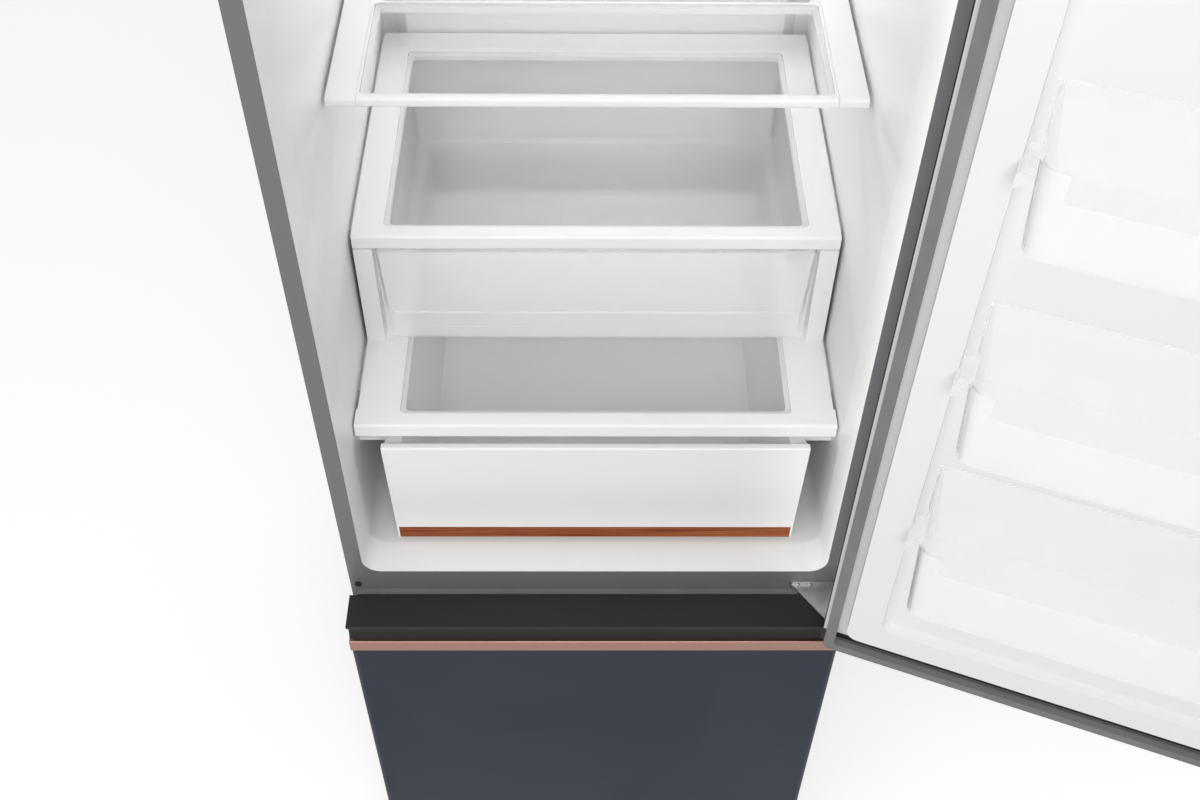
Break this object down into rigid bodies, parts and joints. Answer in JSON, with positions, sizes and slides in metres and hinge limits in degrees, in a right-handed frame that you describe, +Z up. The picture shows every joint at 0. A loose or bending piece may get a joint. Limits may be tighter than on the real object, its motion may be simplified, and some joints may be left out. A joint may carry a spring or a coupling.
{
  "type": "bottom_freezer_refrigerator",
  "caption": "Upright refrigerator with a hinged upper door, glass shelves, a chiller and a crisper drawer, and a pull-out freezer drawer with basket and tray below.",
  "frame": {"origin": "on the floor under the middle of the cabinet's footprint", "axes": "X to the right seen from the front, Y to the back, Z up"},
  "size_m": [1.142, 1.0128, 1.842],
  "materials": {
    "cabinet_grey": "satin grey paint",
    "navy": "smooth navy finish",
    "cap_dark": "dark moulded plastic",
    "copper": "rose coloured brushed strip",
    "liner_white": "formed white plastic",
    "trim_white": "moulded white plastic",
    "clear": "tempered shelf glass",
    "clear_plastic": "clear drawer and bin plastic",
    "wood": "reddish wood grain strip",
    "seal_grey": "soft grey seal",
    "foam": "rigid insulation foam",
    "steel": "plain zinc coated steel",
    "black_metal": "black enamel",
    "black_rubber": "black rubber",
    "tube": "drawn tube",
    "lamp": "opal diffuser",
    "grey_plastic": "grey moulded plastic"
  },
  "bodies": {
    "cabinet": {"cabinet_shell": "cabinet_grey", "back_panel": "cabinet_grey", "fridge_liner": "liner_white", "freezer_liner": "liner_white", "insulation_foam": "foam", "base_plate": "steel", "machine_cover": "black_metal", "kick_plate": "cap_dark", "cord_gland": "black_rubber", "compressor": "black_metal", "compressor_grommets": "black_rubber", "condenser_coil": "black_metal", "drain_pan": "grey_plastic", "evaporator": "tube", "air_panel": "liner_white", "fan_motor": "cap_dark", "duct_panel": "liner_white", "lamp_lens": "lamp", "top_hinge": "steel", "hinge_cover": "grey_plastic", "centre_hinge": "steel", "middle_shelf_bars": "trim_white", "chiller_guides": "trim_white", "freezer_rails": "steel", "crisper_lid_frame": "trim_white", "crisper_lid_glass": "clear", "chiller_lid_frame": "trim_white", "chiller_lid_glass": "clear", "top_shelf_frame": "trim_white", "top_shelf_glass": "clear", "middle_shelf_frame": "trim_white", "middle_shelf_glass": "clear"},
    "fridge_door": {"door_skin": "navy", "door_foam": "foam", "door_seal": "seal_grey", "door_bottom_cap": "cap_dark", "door_top_cap": "cap_dark", "door_liner": "liner_white", "lower_door_bin": "clear_plastic", "middle_door_bin": "clear_plastic", "upper_door_bin": "clear_plastic"},
    "freezer_drawer": {"freezer_skin": "navy", "freezer_front_liner": "liner_white", "freezer_front_foam": "foam", "freezer_seal": "seal_grey", "freezer_bottom_cap": "cap_dark", "freezer_grip": "cap_dark", "freezer_strip": "copper", "freezer_slides": "steel", "freezer_basket": "liner_white"},
    "crisper": {"crisper_tub": "liner_white", "crisper_front": "trim_white", "crisper_strip": "wood"},
    "chiller": {"chiller_drawer": "clear_plastic"},
    "freezer_tray": {"freezer_tray": "clear_plastic"},
    "evaporator_fan": {"evaporator_fan": "grey_plastic"},
    "left_foot": {"left_foot": "grey_plastic"},
    "right_foot": {"right_foot": "grey_plastic"},
    "left_roller": {"left_roller": "black_rubber"},
    "right_roller": {"right_roller": "black_rubber"}
  },
  "joints": [
    {"name": "fridge_door_hinge", "type": "hinge", "parent": "cabinet", "child": "fridge_door", "pos_m": [0.29, -0.37, 0.708], "axis": [0, 0, 1], "range_deg": [-159, 6]},
    {"name": "crisper_slide", "type": "slide", "parent": "cabinet", "child": "crisper", "axis": [0, -1, 0], "range_m": [0, 0.25]},
    {"name": "chiller_slide", "type": "slide", "parent": "cabinet", "child": "chiller", "axis": [0, -1, 0], "range_m": [0, 0.28]},
    {"name": "freezer_slide", "type": "slide", "parent": "cabinet", "child": "freezer_drawer", "axis": [0, -1, 0], "range_m": [0, 0.42]},
    {"name": "freezer_tray_slide", "type": "slide", "parent": "freezer_drawer", "child": "freezer_tray", "axis": [0, 1, 0], "range_m": [0, 0.15]},
    {"name": "evaporator_fan_spin", "type": "hinge", "parent": "cabinet", "child": "evaporator_fan", "pos_m": [0, 0.235, 0.602], "axis": [0, 1, 0], "continuous": true},
    {"name": "left_foot_turn", "type": "hinge", "parent": "cabinet", "child": "left_foot", "pos_m": [-0.25, -0.28, 0], "axis": [0, 0, 1], "continuous": true},
    {"name": "right_foot_turn", "type": "hinge", "parent": "cabinet", "child": "right_foot", "pos_m": [0.25, -0.28, 0], "axis": [0, 0, 1], "continuous": true},
    {"name": "left_roller_spin", "type": "hinge", "parent": "cabinet", "child": "left_roller", "pos_m": [-0.255, 0.26, 0.013], "axis": [1, 0, 0], "continuous": true},
    {"name": "right_roller_spin", "type": "hinge", "parent": "cabinet", "child": "right_roller", "pos_m": [0.255, 0.26, 0.013], "axis": [1, 0, 0], "continuous": true}
  ]
}
